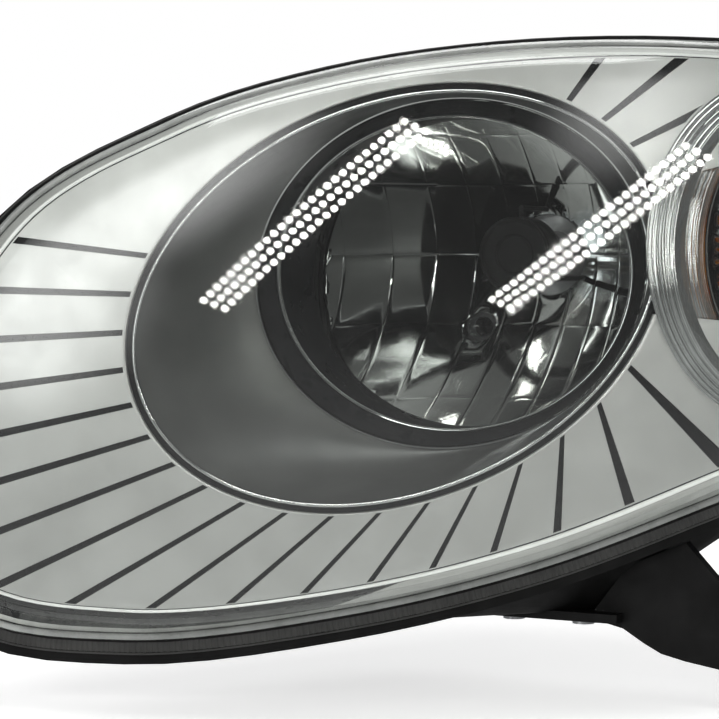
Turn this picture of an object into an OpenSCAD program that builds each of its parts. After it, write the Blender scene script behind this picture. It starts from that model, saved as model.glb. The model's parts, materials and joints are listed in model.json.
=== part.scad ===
// Left-hand car headlight assembly: +X outboard, +Y to the rear, +Z up, light leaves towards -Y.
// Shapes on the swept-back face are drawn in face coordinates (across, up, out of the face).

/* [Face] */
// Angle by which the face is swept back from straight across the car
face_sweep = 27; // [25:0.5:29]
// Height of the lens crown above the face plane
crown_h = 66; // [62:1:70]
// Radius of the lens dome across the face
crown_r_across = 520; // [500:10:600]
// Radius of the lens dome up the face
crown_r_up = 420; // [400:10:480]

/* [Lens] */
// Wall thickness of the lens
lens_t = 3; // [2.5:0.1:3.2]
// Radius between the dome and the skirt
lens_fillet = 14; // [12:0.5:15]
// Lean of the skirt at the top edge
flare_top = 3; // [2:0.5:4]
// Lean of the skirt at the bottom edge
flare_bottom = 11; // [10:0.5:13]

/* [Housing] */
// Wall thickness of the housing
wall = 3; // [2.5:0.1:3.5]
// Outer face of the rear wall
rear_y = 150; // [150:0.5:151]
// Flange beyond the lens at the top edge
lip_top = 1.5; // [1.3:0.1:2]
// Flange beyond the lens at the bottom edge
lip_bottom = 11; // [10:0.5:12]
// Radius of the main bulb opening at the back
cap_r = 45; // [44:0.5:46]

/* [Reflector] */
// Inner radius of the reflector cup
cup_r = 74.5; // [74:0.1:75]
// Wall thickness of the reflector
cup_t = 2.5; // [2:0.1:3]
// Focal length of the reflector dish
focal = 24; // [23.5:0.1:25]
// Distance from the middle of the face back to the dish's vertex
vertex_y = 92; // [91:0.5:93]

/* [Mounts] */
// Radius of the bore in each mounting bush
bush_r = 3.5; // [3:0.1:4]
// Outer radius of each mounting bush
bush_outer_r = 5.5; // [5.2:0.1:6]

/* [Hidden] */
$fn = 64;

// Lens outline on the face, clockwise from the pointed inboard end
OUTLINE = [
  [-244, -70], [-195, 22], [-123, 66], [-54, 88], [20, 99], [98, 101], [165, 94], [212, 67],
  [234, 12], [217, -46], [173, -77], [118, -99], [38, -129], [-50, -150], [-143, -160], [-216, -144]
];
steps = 80;
STATIONS = [for (k = [0:steps - 1]) k * len(OUTLINE) / steps];
ANGLES = [for (k = [0:71]) -k * 5];

// Origin: the upper inner bush, at the top of its bore
tab_y = rear_y + 14;
tab_top = 90;
tab_t = 6;
inner_tab_x = -60;
outer_tab_x = 120;

// Depths below the lens dome
bezel_drop = 18;
bezel_t = 2.5;
funnel_drop = bezel_drop + bezel_t + 0.4;
ring_rise = 1.5;
ring_fall = 18;
skin_t = 2;
seal_t = 2;
lens_base_h = -8;
flange_h = lens_base_h - seal_t;
flange_t = 6;

// Ellipses on the face: centre, half width, half height, tilt
OVAL = [[-25, -10], 117, 83.5, 23];
THROAT = [[0, 0], 85, 75, 12];
TURN_OUTER = [[140, 10], 62, 75, 0];
TURN_INNER = [[145, 10], 38, 53, 0];
fan_centre = [82, 8];
dome_centre = [10, -20];

// Main bulb and sidelight axes, parallel to Y
bulb_x = 8;
bulb_z = 8;
side_x = -19;
side_z = -25;
cup_x = 1;
cup_z = 1;
neck_y = vertex_y + 4;
rim_y = 20;
rim_slant = 21.8;
shroud_slant = 17.7;
shield_y = 48;

// Aiming: fixed ball, side adjuster ball and levelling ball, all at one depth
pivot = [54, 70, 66];
side_ball_x = -66;
level_z = -62;
ball_r = 6;
small_ball_r = 5;
run = 0.05;

// Indicator bulb axis, parallel to Y
turn_x = 132;
turn_z = 10;
turn_neck_y = 106;
turn_bore_r = 16;

// Levelling motor behind the rear wall
nose_r = 15;
nose_y = rear_y - 30;
rod_r = 4;
gear_y = rear_y + 8;
gear_t = 9;
screw_x = 25;
adjust_x = pivot.x + 19;
adjust_y = rear_y + 20;

// Corners of the rear wall, before rounding
REAR_CORNERS = [[-96, 78], [164, 78], [164, -30], [60, -106], [-96, -106]];

// Main connector and vents on the rear wall
plug_x = -64;
plug_z = -30;
vent_x = -84;
VENTS_Z = [-64, -92];
plug_w = 34;
plug_h = 18;
plug_depth = 22;

// Lower bracket
belly_z = -151;
belly_x = -60;
belly_y = 42;
belly_w = 135;
belly_l = 56;
foot_t = 4;
foot_y = 68;
FOOT_SCREWS_X = [0, 34];
arm_y = 60;
arm_t = 6;
arm_end = [146, -176];

function mix(a, b, t) = a + (b - a) * t;
function reversed(list) = [for (i = [len(list) - 1:-1:0]) list[i]];
function outline_at(i) = OUTLINE[(i + len(OUTLINE)) % len(OUTLINE)];
function curve(a, b, c, d, t) =
  0.5 * (2 * b + (c - a) * t + (2 * a - 5 * b + 4 * c - d) * t * t + (3 * b - a - 3 * c + d) * t * t * t);
function slope(a, b, c, d, t) =
  0.5 * ((c - a) + 2 * (2 * a - 5 * b + 4 * c - d) * t + 3 * (3 * b - a - 3 * c + d) * t * t);
function edge(u) =
  let (i = floor(u)) curve(outline_at(i - 1), outline_at(i), outline_at(i + 1), outline_at(i + 2), u - i);
function outward(u) =
  let (i = floor(u), s = slope(outline_at(i - 1), outline_at(i), outline_at(i + 1), outline_at(i + 2), u - i))
  [-s.y, s.x] / norm(s);
function underside(u) = (1 - outward(u).y) / 2;
function edge_in(u, inset) = edge(u) - outward(u) * inset;
function rim(u, inset) = edge_in(u, mix(flare_top, flare_bottom, underside(u)) + inset);
function crown(p) =
  crown_h - pow(p.x + 20, 2) / (2 * crown_r_across) - pow(p.y + 25, 2) / (2 * crown_r_up);
function on_dome(p, drop) = [p.x, p.y, crown(p) - drop];
function at_height(p, h) = [p.x, p.y, h];
function oval_point(e, grow, a) =
  let (x = (e[1] + grow) * cos(a), y = (e[2] + grow) * sin(a))
  e[0] + [x * cos(e[3]) - y * sin(e[3]), x * sin(e[3]) + y * cos(e[3])];
// Distance from a point inside an ellipse to the ellipse, along a direction
function reach(e, from, dir) =
  let (
    d = [dir.x * cos(e[3]) + dir.y * sin(e[3]), dir.y * cos(e[3]) - dir.x * sin(e[3])],
    f = from - e[0],
    o = [f.x * cos(e[3]) + f.y * sin(e[3]), f.y * cos(e[3]) - f.x * sin(e[3])],
    a = pow(d.x / e[1], 2) + pow(d.y / e[2], 2),
    b = o.x * d.x / pow(e[1], 2) + o.y * d.y / pow(e[2], 2),
    c = pow(o.x / e[1], 2) + pow(o.y / e[2], 2) - 1
  )
  (sqrt(b * b - a * c) - b) / a;
function bezel_inner(p) =
  let (dir = (p - fan_centre) / norm(p - fan_centre))
  fan_centre + dir * max(reach(OVAL, fan_centre, dir), reach(TURN_OUTER, fan_centre, dir));

// Moves from the lamp's own centre to the origin at the upper inner bush
module lamp() {
  translate([-inner_tab_x, -tab_y, -tab_top]) children();
}

// Stands a drawing on the swept-back face: x across, y up, z out of the face
module face() {
  lamp() rotate([0, 0, face_sweep]) rotate([90, 0, 0]) children();
}

// Turns a shape drawn along Z so that it runs to the rear, from the given point
module rearward(x, y, z) {
  lamp() translate([x, y, z]) rotate([-90, 0, 0]) children();
}

// Solid through a chain of rings: closed on itself, or ended by two tips
module loft(rings, tips = []) {
  n = len(rings[0]);
  m = len(rings);
  links = len(tips) == 0 ? m : m - 1;
  sides = [for (i = [0:links - 1], k = [0:n - 1])
    let (j = (i + 1) % m, l = (k + 1) % n)
    each [[i * n + k, j * n + l, i * n + l], [i * n + k, j * n + k, j * n + l]]];
  ends = len(tips) == 0 ? [] : [for (k = [0:n - 1])
    each [[m * n, k, (k + 1) % n], [m * n + 1, (m - 1) * n + (k + 1) % n, (m - 1) * n + k]]];
  polyhedron([for (r = rings) each r, for (t = tips) t], concat(sides, ends), convexity = 6);
}

module outline_shape(inset) {
  polygon([for (u = STATIONS) edge_in(u, inset)]);
}

module flange_shape() {
  polygon([for (u = STATIONS) edge_in(u, -mix(lip_top, lip_bottom, underside(u)))]);
}

// Tube or rod that runs to the rear
module rod(x, y, z, r, length) {
  rearward(x, y, z) cylinder(r = r, h = length);
}

// Tube or rod that stands upright
module post(x, y, z, r, length) {
  lamp() translate([x, y, z]) cylinder(r = r, h = length);
}

// Turns a shape, drawn with X away from it, about an axis that runs to the rear
module turned(x, y, z, angle) {
  lamp() translate([x, y, z]) rotate([0, angle, 0]) children();
}

// Box given by its two corners in the lamp's own coordinates
module block(low, high) {
  lamp() translate(low) cube(high - low);
}

// Everything in front of (-1) or behind (1) an upright plane through the rim line
module half_space(slant, side) {
  lamp() translate([0, rim_y, 0]) rotate([0, 0, slant])
    translate([-150, side > 0 ? 0 : -300, -150]) cube(300);
}

// Body of the housing: from the face outline to the rear wall and the belly
module body_hull(inset, face_inset, ahead) {
  corner_r = 12;
  hull() {
    face() translate([0, 0, flange_h - flange_t - 2])
      linear_extrude(flange_t + 2 + ahead) outline_shape(face_inset);
    for (c = REAR_CORNERS) rod(c.x, rear_y - corner_r, c.y, corner_r - inset, corner_r - inset, $fn = 32);
    lamp() rotate([0, 0, face_sweep])
      translate([belly_x + inset, belly_y + inset, belly_z + inset])
        cube([belly_w - 2 * inset, belly_l - 2 * inset, 12]);
  }
}

module upper_tab(x) {
  block([x - 13, rear_y - 10, tab_top - tab_t], [x + 13, tab_y, tab_top]);
  post(x, tab_y, tab_top - tab_t, 13, tab_t);
  for (left = [x - 12, x + 9])
    block([left, rear_y - 4, tab_top - 13.5], [left + 3, rear_y + 5, tab_top - tab_t]);
}

module housing_shell() {
  boss_r = 9;
  color("#1b1c1e") difference() {
    union() {
      difference() {
        union() {
          body_hull(0, 2, -1);
          face() translate([0, 0, flange_h - flange_t]) linear_extrude(flange_t) flange_shape();
          upper_tab(inner_tab_x);
          upper_tab(outer_tab_x);
          rod(bulb_x, rear_y - 2, bulb_z, cap_r + 5, 13);
          rod(turn_x, rear_y - 2, turn_z, turn_bore_r + 4, 8);
        }
        body_hull(wall, 9, 12);
      }
      rod(pivot.x, rear_y - 50, pivot.z, boss_r, 48);
      rod(side_ball_x, rear_y - 50, pivot.z, boss_r, 48);
      for (x = FOOT_SCREWS_X) post(x, foot_y, belly_z + 1, 5, 15);
      for (z = VENTS_Z) rod(vent_x, rear_y - 2, z, 4, 10);
    }
    rod(pivot.x, rear_y - 60, pivot.z, 3, 40);
    rod(side_ball_x, rear_y - 60, pivot.z, 6 + run, 60 - wall);
    rod(side_ball_x, rear_y - 10, pivot.z, 4 + run, 12);
    rod(bulb_x, rear_y - 10, bulb_z, cap_r, 30);
    for (a = [0:120:240]) turned(bulb_x, 0, bulb_z, a + 40)
      translate([cap_r - 2, rear_y - 10, -6.5]) cube([5.3, 30, 13]);
    rod(turn_x, rear_y - 10, turn_z, turn_bore_r + run, 30);
    rod(pivot.x, rear_y - 10, level_z, nose_r, 20);
    for (s = [-1, 1]) rod(pivot.x + s * screw_x, rear_y - 5, level_z, 1.8, 6);
    block([plug_x - 14, rear_y - 5, plug_z - 6], [plug_x + 14, rear_y + 5, plug_z + 6]);
    for (x = FOOT_SCREWS_X) post(x, foot_y, belly_z - 5, 2.2, 18);
    for (x = [inner_tab_x, outer_tab_x]) post(x, tab_y, tab_top - 10, bush_outer_r, 20);
    for (z = VENTS_Z) rod(vent_x, rear_y - 10, z, 2.5, 30);
  }
}

// Rings of one skin of the lens, from the base up to the dome
function lens_skin(off) = concat(
  [[for (u = STATIONS) at_height(edge_in(u, off), lens_base_h)]],
  [for (a = [0:30:90]) [for (u = STATIONS)
    let (r = lens_fillet - off, p = rim(u, off + r * (1 - cos(a))))
    on_dome(p, off + r * (1 - sin(a)))]],
  [for (s = [0.8:-0.2:0.2]) [for (u = STATIONS) on_dome(mix(dome_centre, rim(u, lens_fillet), s), off)]]
);

module lens() {
  tips = [on_dome(dome_centre, 0), on_dome(dome_centre, lens_t)];
  color("#dfe6ea", 0.3) face() loft(concat(reversed(lens_skin(0)), lens_skin(lens_t)), tips);
}

module lens_seal() {
  color("#0d0d0e") face() translate([0, 0, flange_h]) linear_extrude(seal_t) difference() {
    outline_shape(-1);
    outline_shape(4);
  }
}

// Rings of the bezel's front or back skin, from the openings to the outer edge
function bezel_skin(drop, inset) = [for (s = [0, 0.33, 0.67, 1]) [for (u = STATIONS)
  let (outer = rim(u, lens_t + 2 + inset)) on_dome(mix(bezel_inner(outer), outer, s), drop)]];

module bezel() {
  foot = lens_t + 3;
  color("#c9cccf") face() loft(concat(
    bezel_skin(bezel_drop, 0),
    [[for (u = STATIONS) at_height(edge_in(u, foot), flange_h)]],
    [[for (u = STATIONS) at_height(edge_in(u, foot + skin_t), flange_h)]],
    reversed(bezel_skin(bezel_drop + bezel_t, skin_t))
  ));
}

// Rings of the funnel between the oval opening and the round throat
function funnel_skin(grow, drop) = concat(
  [[for (a = ANGLES) on_dome(oval_point(OVAL, 4, a - OVAL[3]), funnel_drop + drop)]],
  [for (s = [0:0.2:1]) [for (a = ANGLES)
    let (
      top = oval_point(OVAL, grow - 4, a - OVAL[3]),
      low = oval_point(THROAT, grow, a - THROAT[3]),
      h = mix(crown(top) - funnel_drop - 1, 0, 1 - pow(1 - s, 1.5))
    )
    at_height(mix(top, low, s), h - drop)]]
);

module main_funnel() {
  color("#63666a") face() loft(concat(funnel_skin(0, 0), reversed(funnel_skin(skin_t, skin_t))));
}

module oval_trim() {
  r = 0.9;
  color("#e6e8ea") face() loft([for (c = [0:60:300])
    [for (a = ANGLES) on_dome(oval_point(OVAL, r * cos(c) - 2.6, a), funnel_drop - r - 0.2 - r * sin(c))]]);
}

// Dark step and tube between the funnel's throat and the moving reflector
module reflector_shroud() {
  tube_r = 67;
  color("#2a2b2d") difference() {
    intersection() {
      union() {
        rod(0, -80, 0, tube_r + 1.7, 160);
        face() translate([0, 0, -4.4])
          linear_extrude(2) polygon([for (a = ANGLES) oval_point(THROAT, -1, a)]);
      }
      face() translate([-150, -150, -152.4]) cube([300, 300, 150]);
    }
    rod(0, -90, 0, tube_r, 180);
    half_space(shroud_slant, 1);
  }
}

// Solid of revolution inside a parabola about the bulb's axis
module dish(vertex, r_max) {
  slices = 20;
  rearward(bulb_x, vertex, bulb_z) rotate([180, 0, 0]) rotate_extrude($fn = 96) polygon(concat(
    [for (k = [0:slices]) let (r = r_max * k / slices) [r, r * r / (4 * focal)]],
    [[0, r_max * r_max / (4 * focal)]]
  ));
}

// Square ear on the back of the reflector
module ear(x, z, half, front, back) {
  block([x - half, front, z - half], [x + half, back, z + half]);
}

module main_reflector() {
  color("#d7dadd") difference() {
    union() {
      intersection() {
        rod(cup_x, -60, cup_z, cup_r + cup_t, 180);
        dish(vertex_y + 3, 100);
      }
      rod(bulb_x, vertex_y - 10, bulb_z, 26, neck_y - vertex_y + 10);
      rod(side_x, vertex_y - 26, side_z, 10, 20);
      ear(pivot.x, pivot.z, 12, 50, 82);
      block([pivot.x - 6, 34, pivot.z - 30], [pivot.x + 6, 60, pivot.z - 4]);
      ear(side_ball_x, pivot.z, 8, 26, 60);
      block([side_ball_x - 2, 24, pivot.z - 26], [side_ball_x + 22, 58, pivot.z - 2]);
      ear(pivot.x, level_z, 8, 26, 60);
      block([pivot.x - 22, 26, level_z + 2], [pivot.x + 4, 60, level_z + 24]);
      for (x = [bulb_x - 22, bulb_x + 22])
        block([x - 3, neck_y - 6, bulb_z + 10], [x + 3, neck_y + 8, bulb_z + 34]);
    }
    intersection() {
      rod(cup_x, -70, cup_z, cup_r, 200);
      dish(vertex_y, 110);
    }
    half_space(rim_slant, -1);
    rod(bulb_x, vertex_y - 20, bulb_z, 18.5, 40);
    rod(side_x, vertex_y - 40, side_z, 6.5 + run, 60);
    for (a = [30:120:270]) turned(bulb_x, 0, bulb_z, a)
      translate([21, neck_y - 12, 0]) rotate([-90, 0, 0]) cylinder(r = 1.2, h = 13);
    turned(pivot.x - 20, pivot.y, pivot.z, 90) cylinder(r = 9 + run, h = 40);
    rod(pivot.x, pivot.y, pivot.z, 6, 20);
    turned(bulb_x - 30, neck_y + 4, bulb_z + 29, 90) cylinder(r = 1.5 + run, h = 60);
  }
}

// Glass envelope of the main bulb: thin tube with a round tip
module bulb_glass() {
  tip = 54;
  color("#eef2f4", 0.4) rearward(bulb_x, tip, bulb_z) rotate_extrude() polygon(concat(
    [for (a = [0:15:90]) [8.5 * sin(a), 8.5 * (1 - cos(a))]],
    [[8.5, 36], [7.5, 36]],
    [for (a = [90:-15:0]) [7.5 * sin(a), 8.5 - 7.5 * cos(a)]]
  ));
}

module bulb_filaments() {
  color("#b8a27a") union() {
    for (y = [62, 71]) rod(bulb_x, y, bulb_z + 1, 0.9, 5);
    for (x = [-3, 3]) rod(bulb_x + x, 64, bulb_z - 2, 0.5, 26);
    for (y = [64, 73]) block([bulb_x - 3.4, y, bulb_z - 2.4], [bulb_x + 3.4, y + 1, bulb_z + 1.4]);
  }
}

module bulb_base() {
  color("#b5b8ba") difference() {
    union() {
      rod(bulb_x, neck_y, bulb_z, 21, 1.5);
      rod(bulb_x, neck_y - 12, bulb_z, 11, 26);
      for (a = [0, 130, 230]) turned(bulb_x, neck_y, bulb_z, a)
        translate([18, 0, -3]) cube([4.5, 1.5, 6]);
    }
    rod(bulb_x, neck_y - 13, bulb_z, 8.5, 7);
  }
}

// Two upright blades and one lying above them
module terminal_blades(front) {
  for (x = [bulb_x - 7.5, bulb_x + 7.5])
    block([x - 0.5, front, bulb_z - 4], [x + 0.5, neck_y + 25, bulb_z + 4]);
  block([bulb_x - 4, front, bulb_z + 6], [bulb_x + 4, neck_y + 25, bulb_z + 7]);
}

module bulb_terminals() {
  color("#c9b26a") terminal_blades(neck_y + 14);
}

module bulb_plug() {
  color("#202123") difference() {
    union() {
      block([bulb_x - 11, neck_y + 14.3, bulb_z - 9], [bulb_x + 11, neck_y + 33, bulb_z + 10]);
      block([bulb_x - 8, neck_y + 33, bulb_z - 6], [bulb_x + 8, neck_y + 35, bulb_z + 7]);
    }
    terminal_blades(neck_y + 10);
  }
}

// Black cap in front of the bulb, on three wire legs pressed into the reflector
module bulb_shield() {
  color("#17181a") union() {
    difference() {
      rod(bulb_x, shield_y, bulb_z, 17, 14);
      rod(bulb_x, shield_y + 1.2, bulb_z, 16, 14);
    }
    for (a = [30:120:270]) turned(bulb_x, 0, bulb_z, a) {
      translate([21, shield_y + 8, 0]) rotate([-90, 0, 0]) cylinder(r = 1.2, h = neck_y - 0.2 - shield_y - 8);
      translate([16.5, shield_y + 8, -1.2]) cube([4.6, 2.4, 2.4]);
    }
  }
}

// Wire bail that holds the bulb, hinged above it and hooked below it
module bulb_clip() {
  wire = 0.9;
  top_z = bulb_z + 29;
  low_z = bulb_z - 24;
  y = neck_y + 4;
  color("#c4c7c9") union() {
    for (s = [-1, 1]) {
      post(bulb_x + s * 17, y, low_z, wire, top_z - low_z);
      lamp() translate([bulb_x + s * 17, y, low_z]) sphere(r = wire);
      lamp() translate([bulb_x + s * 17, y, top_z]) sphere(r = 1.5);
    }
    turned(bulb_x - 17, y, low_z, 90) cylinder(r = wire, h = 34);
    turned(bulb_x - 17, y, top_z, 90) cylinder(r = 1.5, h = 34);
    turned(bulb_x - 24.9, y, top_z, 90) cylinder(r = 1.5, h = 49.8);
  }
}

module clip_pivot() {
  color("#8d9092") for (s = [-1, 1])
    turned(bulb_x + s * 25, neck_y + 4, bulb_z + 29, s * 90) difference() {
      cylinder(r = 3, h = 1);
      translate([0, 0, 0.6]) cube([4, 0.8, 1], center = true);
    }
}

module sidelight_bulb() {
  color("#eef2f4", 0.5) union() {
    rod(side_x, 68, side_z, 4.6, 16);
    lamp() translate([side_x, 68, side_z]) sphere(r = 4.6);
  }
}

module sidelight_holder() {
  color("#303236") difference() {
    union() {
      rod(side_x, 76, side_z, 6.5, 14);
      rod(side_x, 86.1, side_z, 9, 3);
      rod(side_x, 89, side_z, 6, 12);
      for (a = [0:45:315]) turned(side_x, 89, side_z, a) translate([5, 0, -0.6]) cube([2, 11, 1.2]);
    }
    rod(side_x, 70, side_z, 4.6, 14);
  }
}

// Ridged silver ring around the indicator: level with the dome at first, then falling into the bowl
module indicator_ring() {
  ridges = 8;
  ridge_h = 0.5;
  function ring(s, drop) = [for (a = ANGLES)
    on_dome(mix(oval_point(TURN_OUTER, -0.8, a), oval_point(TURN_INNER, 0, a), s),
      bezel_drop - ring_rise + ring_fall * pow(s, 5) + drop)];
  color("#d4d7d9") face() loft(concat(
    [for (k = [0:ridges]) ring(k / ridges, ridge_h * (k % 2))],
    [for (k = [ridges:-2:0]) ring(k / ridges, skin_t + ridge_h)]
  ));
}

// Point on a circle about the indicator's axis, in face coordinates
function turn_neck(r, y, a) =
  let (x = turn_x + r * cos(a), s = face_sweep)
  [x * cos(s) + y * sin(s), turn_z + r * sin(a), x * sin(s) - y * cos(s)];

function bowl_skin(grow, drop) = [for (s = [0:0.2:1]) [for (a = ANGLES)
  let (
    p = oval_point(TURN_INNER, grow - 1, a),
    top = on_dome(p, bezel_drop + 19.5 + drop),
    low = turn_neck(14 + grow, turn_neck_y, a),
    sag = pow(s, 1.6)
  )
  [mix(top.x, low.x, sag), mix(top.y, low.y, sag), mix(top.z, low.z, s)]]];

module indicator_bowl() {
  color("#cfd2d4") face() loft(concat(bowl_skin(0, 0), reversed(bowl_skin(skin_t, 0))));
}

module indicator_bulb() {
  color("#e08a2a", 0.7) rearward(turn_x, 66, turn_z) rotate_extrude() polygon([
    [0, 0], [5, 0.8], [9, 3.4], [11.7, 7.5], [12.5, 12.5], [11.6, 17.5], [9, 23], [7, 28], [7, 33], [0, 33]
  ]);
}

module indicator_bulb_base() {
  color("#b5b8ba") union() {
    rod(turn_x, 99, turn_z, 7.5, 16);
    rod(turn_x, 115, turn_z, 2.5, 2);
  }
}

module indicator_holder() {
  color("#3a3c40") difference() {
    union() {
      rod(turn_x, 102, turn_z, 10.5, 40);
      rod(turn_x, 140, turn_z, turn_bore_r, rear_y - 140 + 7.5);
      rod(turn_x, rear_y + 7.5, turn_z, 21, 4);
      block([turn_x - 17, rear_y + 11, turn_z - 4], [turn_x + 17, rear_y + 23, turn_z + 4]);
    }
    rod(turn_x, 90, turn_z, 7.5, 25);
    rod(turn_x, 110, turn_z, 2.5, 7);
  }
}

module indicator_seal() {
  color("#0d0d0e") difference() {
    rod(turn_x, rear_y + 6, turn_z, 20, 1.5);
    rod(turn_x, rear_y + 5, turn_z, turn_bore_r, 4);
  }
}

// Round rear cover with a bayonet skirt, grip bar and rim ribs
module main_cap() {
  skirt_r = cap_r - run;
  back_y = rear_y + 13;
  color("#222326") difference() {
    union() {
      rod(bulb_x, rear_y - 9, bulb_z, skirt_r, 22.5);
      rod(bulb_x, back_y, bulb_z, cap_r + 6, 3);
      block([bulb_x - 34, back_y + 2, bulb_z - 4], [bulb_x + 34, back_y + 13, bulb_z + 4]);
      for (a = [0:15:345]) turned(bulb_x, 0, bulb_z, a)
        translate([cap_r + 5, back_y - 1.8, -1.5]) cube([3, 4.8, 3]);
      for (a = [0:120:240]) turned(bulb_x, 0, bulb_z, a)
        translate([cap_r - 2, rear_y - 8.5, -5]) cube([4.8, 5.4, 10]);
    }
    rod(bulb_x, rear_y - 10, bulb_z, skirt_r - 2.5, 22);
  }
}

module cap_seal() {
  color("#0d0d0e") difference() {
    rod(bulb_x, rear_y + 11, bulb_z, cap_r + 4, 2);
    rod(bulb_x, rear_y + 10, bulb_z, cap_r, 4);
  }
}

// Fixed ball on a shank pressed into the housing
module ball_stud() {
  color("#a9adb0") union() {
    lamp() translate(pivot) sphere(r = ball_r);
    rod(pivot.x, pivot.y, pivot.z, 3, 46);
  }
}

// Nylon cup on the fixed ball: turns about Z on the ball, and the reflector tilts on it.
// A core hole runs down through it on the turning axis.
module pivot_cup() {
  color("#e9e6da") difference() {
    turned(pivot.x - 10, pivot.y, pivot.z, 90) cylinder(r = 9, h = 20);
    lamp() translate(pivot) sphere(r = ball_r + run);
    rod(pivot.x, pivot.y, pivot.z, 4.6, 20);
    post(pivot.x, pivot.y, pivot.z - 12, 1.5, 24);
  }
}

// Nylon socket at the back of a reflector ear, open to the rear
module ball_socket(x, z, slack) {
  color("#e9e6da") difference() {
    block([x - 8, 60, z - 8], [x + 8, 78, z + 8]);
    lamp() translate([x, pivot.y, z]) sphere(r = small_ball_r + slack);
    rod(x, pivot.y, z, small_ball_r - 0.4, 12);
  }
}

module level_socket() {
  ball_socket(pivot.x, level_z, 0.5);
}

module side_socket() {
  ball_socket(side_ball_x, pivot.z, 0.4);
}

module level_rod() {
  color("#e9e6da") union() {
    lamp() translate([pivot.x, pivot.y, level_z]) sphere(r = small_ball_r);
    rod(pivot.x, pivot.y, level_z, 2.8, 20);
    rod(pivot.x, pivot.y + 18, level_z, rod_r, gear_y + 14 - pivot.y - 18);
  }
}

module level_gear() {
  teeth = 18;
  color("#e9e6da") difference() {
    union() {
      rod(pivot.x, gear_y, level_z, 9.6, gear_t);
      for (k = [0:teeth - 1]) turned(pivot.x, gear_y, level_z, k * 360 / teeth)
        translate([9, 0, -0.8]) cube([2.4, gear_t, 1.6]);
    }
    rod(pivot.x, gear_y - 1, level_z, rod_r + run, gear_t + 2);
  }
}

// Levelling motor: nose through the rear wall, flange, drum and side socket
module level_motor() {
  color("#2b2d31") difference() {
    union() {
      rod(pivot.x, nose_y, level_z, nose_r, 32);
      block([pivot.x - 30, rear_y + 1.5, level_z - 17], [pivot.x + 30, rear_y + 5, level_z + 17]);
      rod(pivot.x, rear_y + 4, level_z, 20, 32);
      rod(pivot.x, rear_y + 35, level_z, 12, 4);
      block([pivot.x - 38, rear_y + 12, level_z - 8], [pivot.x - 14, rear_y + 26, level_z + 8]);
      post(adjust_x, adjust_y, level_z + 4, 5.5, 22);
      block([pivot.x + 10, adjust_y - 5, level_z - 2], [adjust_x, adjust_y + 5, level_z + 14]);
    }
    rod(pivot.x, nose_y - 2, level_z, rod_r + run, 20);
    rod(pivot.x, nose_y + 8, level_z, 12, 52);
    post(adjust_x, adjust_y, level_z + 8, 3 + run, 30);
    block([pivot.x - 40, rear_y + 14, level_z - 6], [pivot.x - 24, rear_y + 24, level_z + 6]);
    for (s = [-1, 1]) rod(pivot.x + s * screw_x, rear_y, level_z, 2, 8);
  }
}

module motor_seal() {
  color("#0d0d0e") difference() {
    rod(pivot.x, rear_y, level_z, nose_r + 3, 1.5);
    rod(pivot.x, rear_y - 1, level_z, nose_r, 4);
    for (s = [-1, 1]) rod(pivot.x + s * screw_x, rear_y - 1, level_z, 5, 8);
  }
}

// Pan-head screw with a cross recess, head towards the rear
module screw(r, shank, head_r, head_h) {
  difference() {
    union() {
      cylinder(r = head_r, h = head_h);
      translate([0, 0, -shank]) cylinder(r = r, h = shank + 0.1);
    }
    for (a = [0, 90]) rotate([0, 0, a])
      translate([-head_r * 0.6, -0.5, head_h - 1.2]) cube([head_r * 1.2, 1, 2]);
  }
}

module motor_screws() {
  color("#9a9da0") for (s = [-1, 1])
    rearward(pivot.x + s * screw_x, rear_y + 5, level_z) screw(1.8, 8, 4, 2.6);
}

module tilt_adjuster() {
  color("#d8d4c6") union() {
    post(adjust_x, adjust_y, level_z + 9, 3, 19);
    post(adjust_x, adjust_y, level_z + 26.4, 6, 7);
    for (a = [0:45:315]) lamp() translate([adjust_x, adjust_y, level_z + 26.4]) rotate([0, 0, a])
      translate([5, -1, 0]) cube([2.2, 2, 7]);
  }
}

module side_slider() {
  color("#e9e6da") difference() {
    union() {
      lamp() translate([side_ball_x, pivot.y, pivot.z]) sphere(r = small_ball_r);
      rod(side_ball_x, pivot.y, pivot.z, 2.8, 16);
      rod(side_ball_x, pivot.y + 14, pivot.z, 6, 34);
    }
    rod(side_ball_x, pivot.y + 19, pivot.z, 3 + run, 40);
  }
}

module side_screw() {
  color("#a9adb0") union() {
    rod(side_ball_x, 98, pivot.z, 3, 40);
    rod(side_ball_x, 134, pivot.z, 5.5, rear_y - wall - 134.2);
    rod(side_ball_x, rear_y - wall - 0.5, pivot.z, 4, wall + 1);
    rod(side_ball_x, rear_y + 0.3, pivot.z, 8, 6);
    for (a = [0:30:330]) turned(side_ball_x, rear_y + 0.3, pivot.z, a)
      translate([7, 0, -1]) cube([2.4, 6, 2]);
    rod(side_ball_x, rear_y + 6, pivot.z, 4, 7, $fn = 6);
  }
}

// Row of seven pins
module pins(length) {
  for (x = [plug_x - 12:4:plug_x + 12])
    block([x - 0.5, rear_y + 2, plug_z - 0.9], [x + 0.5, rear_y + 2 + length, plug_z + 0.9]);
}

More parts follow.
